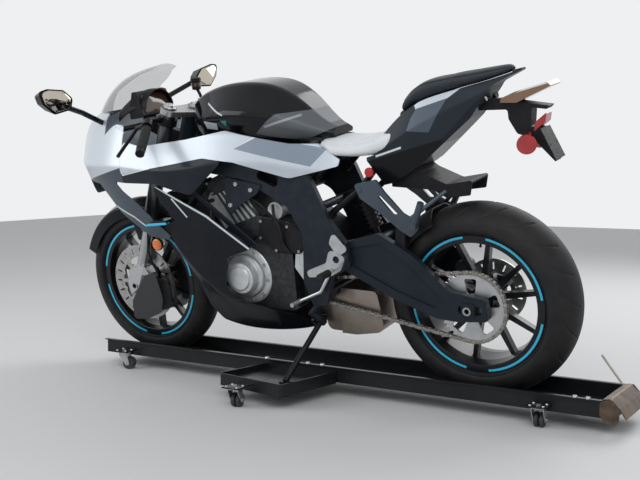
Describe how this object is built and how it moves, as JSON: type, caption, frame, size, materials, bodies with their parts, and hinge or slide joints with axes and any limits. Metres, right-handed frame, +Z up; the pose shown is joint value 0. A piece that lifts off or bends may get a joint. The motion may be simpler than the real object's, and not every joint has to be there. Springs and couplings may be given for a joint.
{
  "type": "sport motorcycle on a wheeled parking dolly",
  "caption": "Fully faired sport motorcycle leaning on its side stand in a low black wheel channel on swivel casters, with a side tray under the stand.",
  "frame": {"origin": "middle of the bottom of the whole object's box, on the floor under the casters", "axes": "+X towards the motorcycle's front, +Y to its left, the side it leans to, +Z up"},
  "size_m": [2.1866, 0.9782, 1.2218],
  "materials": {
    "axle_steel": "brushed",
    "black_metal": "satin",
    "black_plastic": "matt",
    "caliper_grey": "satin",
    "caster_rubber": "matt",
    "chain_steel": "satin",
    "cover_metal": "satin",
    "dark_duct": "gloss",
    "disc_steel": "brushed",
    "dolly_black": "satin",
    "engine_metal": "satin",
    "exhaust_steel": "brushed",
    "fork_metal": "satin",
    "frame_grey": "satin",
    "gloss_black": "gloss",
    "grip_rubber": "matt",
    "lamp_clear": "clear",
    "lamp_red": "gloss",
    "pale_metal": "satin",
    "pearl_silver": "gloss pearl",
    "radiator_black": "matt",
    "ramp_plate": "satin",
    "rim_dark": "satin",
    "satin_arm": "satin",
    "satin_blue_grey": "satin",
    "screen_clear": "clear",
    "seat_blue_grey": "matt",
    "seat_white": "satin",
    "tank_black": "gloss",
    "tyre": "matt",
    "yoke_metal": "satin",
    "zinc_steel": "zinc plated"
  },
  "bodies": {
    "chassis": {"airbox": "black_plastic", "belly_pan": "gloss_black", "chain": "chain_steel", "dolly_front_channel": "dolly_black", "dolly_ramp": "ramp_plate", "dolly_rear_channel": "dolly_black", "dolly_tray": "dolly_black", "engine": "engine_metal", "engine_covers": "cover_metal", "exhaust": "exhaust_steel", "fairing_stays": "black_metal", "footrests": "pale_metal", "frame": "frame_grey", "headlights": "lamp_clear", "instrument_panel": "black_plastic", "mirrors": "gloss_black", "nose_fairing": "satin_blue_grey", "passenger_rests": "pale_metal", "passenger_seat": "seat_blue_grey", "plate_hanger": "black_plastic", "radiator": "radiator_black", "rear_axle": "axle_steel", "rear_caliper": "caliper_grey", "rear_lamps": "lamp_red", "rear_mudguard": "black_plastic", "rider_seat": "seat_white", "shock": "black_metal", "side_ducts": "dark_duct", "side_fairings": "pearl_silver", "subframe": "black_metal", "swingarm": "satin_arm", "tail_cowl": "pearl_silver", "tail_fender": "black_plastic", "tank": "tank_black", "windscreen": "screen_clear"},
    "steering": {"fork_legs": "fork_metal", "yokes": "yoke_metal", "handlebars": "black_metal", "grips": "grip_rubber", "front_mudguard": "satin_blue_grey", "front_calipers": "caliper_grey", "front_axle": "axle_steel"},
    "front_wheel": {"front_tyre": "tyre", "front_rim": "rim_dark", "front_discs": "disc_steel"},
    "rear_wheel": {"rear_tyre": "tyre", "rear_rim": "rim_dark", "rear_sprocket": "pale_metal", "rear_disc": "disc_steel"},
    "stand": {"side_stand": "black_metal"},
    "caster_front_left": {"caster_fork_front_left": "zinc_steel"},
    "caster_front_left_wheels": {"caster_wheels_front_left": "caster_rubber"},
    "caster_front_right": {"caster_fork_front_right": "zinc_steel"},
    "caster_front_right_wheels": {"caster_wheels_front_right": "caster_rubber"},
    "caster_rear_left": {"caster_fork_rear_left": "zinc_steel"},
    "caster_rear_left_wheels": {"caster_wheels_rear_left": "caster_rubber"},
    "caster_rear_right": {"caster_fork_rear_right": "zinc_steel"},
    "caster_rear_right_wheels": {"caster_wheels_rear_right": "caster_rubber"},
    "caster_tray": {"caster_fork_tray": "zinc_steel"},
    "caster_tray_wheels": {"caster_wheels_tray": "caster_rubber"}
  },
  "joints": [
    {"name": "steering_turn", "type": "hinge", "parent": "chassis", "child": "steering", "pos_m": [0.50001, -0.0212, 1.00542], "axis": [-0.3665, 0.1616, 0.9163], "range_deg": [-27, 27]},
    {"name": "front_wheel_spin", "type": "hinge", "parent": "steering", "child": "front_wheel", "pos_m": [0.79016, -0.13581, 0.35544], "axis": [0, 0.9848, -0.1736], "continuous": true},
    {"name": "rear_wheel_spin", "type": "hinge", "parent": "chassis", "child": "rear_wheel", "pos_m": [-0.60984, -0.1332, 0.37021], "axis": [0, 0.9848, -0.1736], "continuous": true},
    {"name": "side_stand_fold", "type": "hinge", "parent": "chassis", "child": "stand", "pos_m": [-0.03984, -0.04676, 0.26155], "axis": [0.4504, 0.6006, 0.6606], "range_deg": [0, 90]},
    {"name": "caster_front_left_swivel", "type": "hinge", "parent": "chassis", "child": "caster_front_left", "pos_m": [0.85616, -0.0149, 0.06], "axis": [0, 0, 1], "continuous": true},
    {"name": "caster_front_left_roll", "type": "hinge", "parent": "caster_front_left", "child": "caster_front_left_wheels", "pos_m": [0.83737, -0.02174, 0.0235], "axis": [-0.342, 0.9397, 0], "continuous": true},
    {"name": "caster_front_right_swivel", "type": "hinge", "parent": "chassis", "child": "caster_front_right", "pos_m": [0.85616, -0.3189, 0.06], "axis": [0, 0, 1], "continuous": true},
    {"name": "caster_front_right_roll", "type": "hinge", "parent": "caster_front_right", "child": "caster_front_right_wheels", "pos_m": [0.87348, -0.3289, 0.0235], "axis": [-0.5, -0.866, 0], "continuous": true},
    {"name": "caster_rear_left_swivel", "type": "hinge", "parent": "chassis", "child": "caster_rear_left", "pos_m": [-0.83584, -0.0149, 0.06], "axis": [0, 0, 1], "continuous": true},
    {"name": "caster_rear_left_roll", "type": "hinge", "parent": "caster_rear_left", "child": "caster_rear_left_wheels", "pos_m": [-0.8341, -0.03482, 0.0235], "axis": [-0.9962, -0.0872, 0], "continuous": true},
    {"name": "caster_rear_right_swivel", "type": "hinge", "parent": "chassis", "child": "caster_rear_right", "pos_m": [-0.83584, -0.3189, 0.06], "axis": [0, 0, 1], "continuous": true},
    {"name": "caster_rear_right_roll", "type": "hinge", "parent": "caster_rear_right", "child": "caster_rear_right_wheels", "pos_m": [-0.85116, -0.33176, 0.0235], "axis": [-0.6428, 0.766, 0], "continuous": true},
    {"name": "caster_tray_swivel", "type": "hinge", "parent": "chassis", "child": "caster_tray", "pos_m": [0.10616, 0.2641, 0.06], "axis": [0, 0, 1], "continuous": true},
    {"name": "caster_tray_roll", "type": "hinge", "parent": "caster_tray", "child": "caster_tray_wheels", "pos_m": [0.10963, 0.2444, 0.0235], "axis": [-0.9848, -0.1736, 0], "continuous": true}
  ]
}
